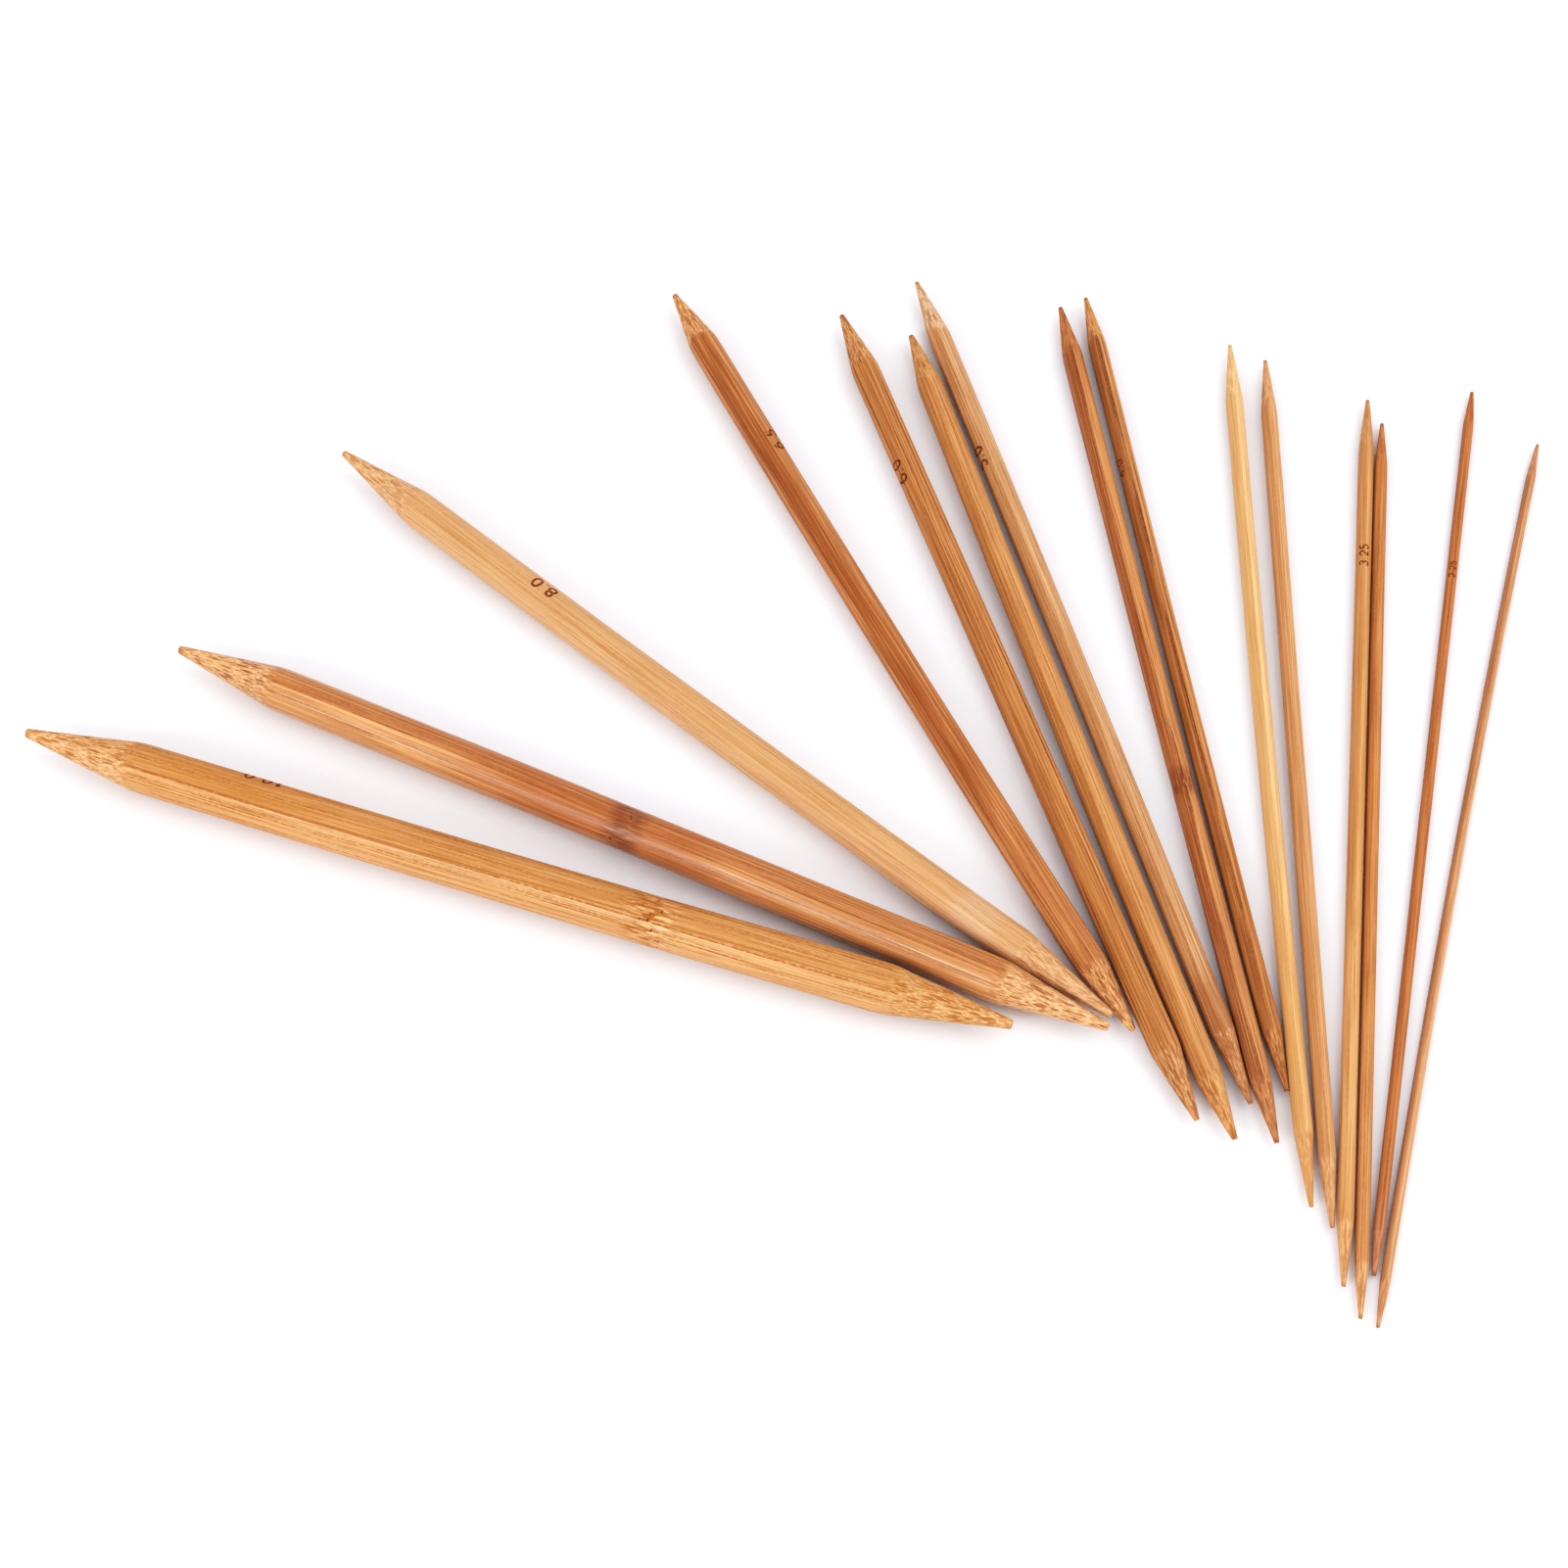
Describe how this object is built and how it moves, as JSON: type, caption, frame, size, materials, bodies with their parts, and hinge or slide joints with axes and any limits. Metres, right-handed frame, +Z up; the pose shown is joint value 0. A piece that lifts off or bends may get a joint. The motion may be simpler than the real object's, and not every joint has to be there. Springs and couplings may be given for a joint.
{
  "type": "double pointed knitting needle set",
  "caption": "Set of loose bamboo double pointed knitting needles of graded thickness lying in an open fan, each a round shaft with a long blunt point at both ends.",
  "frame": {"origin": "centre of the fan's box, on the surface that the needles lie on", "axes": "+Z up; +X to the right along the fan's longest extent; +Y away from the points that are gathered together, so that the view of the picture looks along +Y from above"},
  "size_m": [0.3096, 0.2388, 0.01],
  "materials": {
    "bamboo_10_0mm": "satin, carbonised bamboo",
    "bamboo_9_0mm": "satin, carbonised bamboo",
    "bamboo_8_0mm": "satin, carbonised bamboo",
    "bamboo_6_5mm": "satin, carbonised bamboo",
    "bamboo_6_0mm": "satin, carbonised bamboo",
    "bamboo_5_5mm": "satin, carbonised bamboo",
    "bamboo_5_0mm": "satin, carbonised bamboo",
    "bamboo_4_5mm": "satin, carbonised bamboo",
    "bamboo_4_0mm": "satin, carbonised bamboo",
    "bamboo_3_75mm": "satin, carbonised bamboo",
    "bamboo_3_5mm": "satin, carbonised bamboo",
    "bamboo_3_25mm": "satin, carbonised bamboo",
    "bamboo_2_75mm": "satin, carbonised bamboo",
    "bamboo_2_25mm": "satin, carbonised bamboo",
    "bamboo_2_0mm": "satin, carbonised bamboo"
  },
  "bodies": {
    "needle_10_0mm": {"needle_10_0mm": "bamboo_10_0mm"},
    "needle_9_0mm": {"needle_9_0mm": "bamboo_9_0mm"},
    "needle_8_0mm": {"needle_8_0mm": "bamboo_8_0mm"},
    "needle_6_5mm": {"needle_6_5mm": "bamboo_6_5mm"},
    "needle_6_0mm": {"needle_6_0mm": "bamboo_6_0mm"},
    "needle_5_5mm": {"needle_5_5mm": "bamboo_5_5mm"},
    "needle_5_0mm": {"needle_5_0mm": "bamboo_5_0mm"},
    "needle_4_5mm": {"needle_4_5mm": "bamboo_4_5mm"},
    "needle_4_0mm": {"needle_4_0mm": "bamboo_4_0mm"},
    "needle_3_75mm": {"needle_3_75mm": "bamboo_3_75mm"},
    "needle_3_5mm": {"needle_3_5mm": "bamboo_3_5mm"},
    "needle_3_25mm": {"needle_3_25mm": "bamboo_3_25mm"},
    "needle_2_75mm": {"needle_2_75mm": "bamboo_2_75mm"},
    "needle_2_25mm": {"needle_2_25mm": "bamboo_2_25mm"},
    "needle_2_0mm": {"needle_2_0mm": "bamboo_2_0mm"}
  },
  "joints": [
    {"name": "draw_out_9_0mm", "type": "slide", "parent": "needle_10_0mm", "child": "needle_9_0mm", "axis": [-0.9078, 0.4195, 0], "range_m": [0, 0.21]},
    {"name": "draw_out_8_0mm", "type": "slide", "parent": "needle_10_0mm", "child": "needle_8_0mm", "axis": [-0.7615, 0.6481, 0], "range_m": [0, 0.21]},
    {"name": "draw_out_6_5mm", "type": "slide", "parent": "needle_10_0mm", "child": "needle_6_5mm", "axis": [-0.4509, 0.8926, 0], "range_m": [0, 0.21]},
    {"name": "draw_out_6_0mm", "type": "slide", "parent": "needle_10_0mm", "child": "needle_6_0mm", "axis": [-0.319, 0.9478, 0], "range_m": [0, 0.21]},
    {"name": "draw_out_5_5mm", "type": "slide", "parent": "needle_10_0mm", "child": "needle_5_5mm", "axis": [-0.284, 0.9588, 0], "range_m": [0, 0.21]},
    {"name": "draw_out_5_0mm", "type": "slide", "parent": "needle_10_0mm", "child": "needle_5_0mm", "axis": [-0.2823, 0.9593, 0], "range_m": [0, 0.21]},
    {"name": "draw_out_4_5mm", "type": "slide", "parent": "needle_10_0mm", "child": "needle_4_5mm", "axis": [-0.1547, 0.988, 0], "range_m": [0, 0.21]},
    {"name": "draw_out_4_0mm", "type": "slide", "parent": "needle_10_0mm", "child": "needle_4_0mm", "axis": [-0.1461, 0.9893, 0], "range_m": [0, 0.21]},
    {"name": "draw_out_3_75mm", "type": "slide", "parent": "needle_10_0mm", "child": "needle_3_75mm", "axis": [0, 1, 0], "range_m": [0, 0.21]},
    {"name": "draw_out_3_5mm", "type": "slide", "parent": "needle_10_0mm", "child": "needle_3_5mm", "axis": [0.0192, 0.9998, 0], "range_m": [0, 0.21]},
    {"name": "draw_out_3_25mm", "type": "slide", "parent": "needle_10_0mm", "child": "needle_3_25mm", "axis": [0.1184, 0.993, 0], "range_m": [0, 0.21]},
    {"name": "draw_out_2_75mm", "type": "slide", "parent": "needle_10_0mm", "child": "needle_2_75mm", "axis": [0.1184, 0.993, 0], "range_m": [0, 0.21]},
    {"name": "draw_out_2_25mm", "type": "slide", "parent": "needle_10_0mm", "child": "needle_2_25mm", "axis": [0.1994, 0.9799, 0], "range_m": [0, 0.21]},
    {"name": "draw_out_2_0mm", "type": "slide", "parent": "needle_10_0mm", "child": "needle_2_0mm", "axis": [0.2622, 0.965, 0], "range_m": [0, 0.21]}
  ]
}
